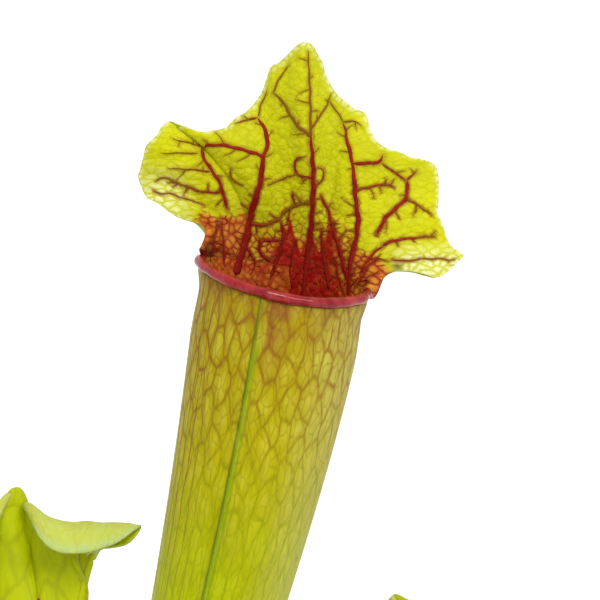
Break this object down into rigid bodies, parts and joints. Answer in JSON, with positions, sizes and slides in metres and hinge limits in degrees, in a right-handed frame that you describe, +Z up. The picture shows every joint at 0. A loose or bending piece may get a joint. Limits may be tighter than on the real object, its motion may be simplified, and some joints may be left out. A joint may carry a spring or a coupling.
{
  "type": "potted pitcher plant",
  "caption": "Trumpet pitcher plant with tall tubular leaves under waved, red-veined lids, growing from a crown in soil in a plain round pot.",
  "frame": {"origin": "centre of the pot's flat underside", "axes": "+Z up the pot's axis, -Y towards the camera of the picture, which the tall pitcher's mouth faces, +X to its right"},
  "size_m": [0.1494, 0.1314, 0.3399],
  "materials": {
    "pot_plastic": "satin",
    "peat": "rough, moist peat",
    "rhizome_bark": "rough",
    "pitcher_green": "satin leaf",
    "young_green": "satin leaf"
  },
  "bodies": {
    "root": {"pot": "pot_plastic", "soil": "peat", "rhizome": "rhizome_bark", "pitcher_tall": "pitcher_green", "pitcher_front_left": "pitcher_green", "pitcher_right": "pitcher_green", "pitcher_back_right": "pitcher_green", "pitcher_back": "pitcher_green", "pitcher_back_left": "pitcher_green", "pitcher_left": "pitcher_green", "pitcher_front": "pitcher_green", "young_pitcher_1": "young_green", "young_pitcher_2": "young_green"}
  },
  "joints": []
}
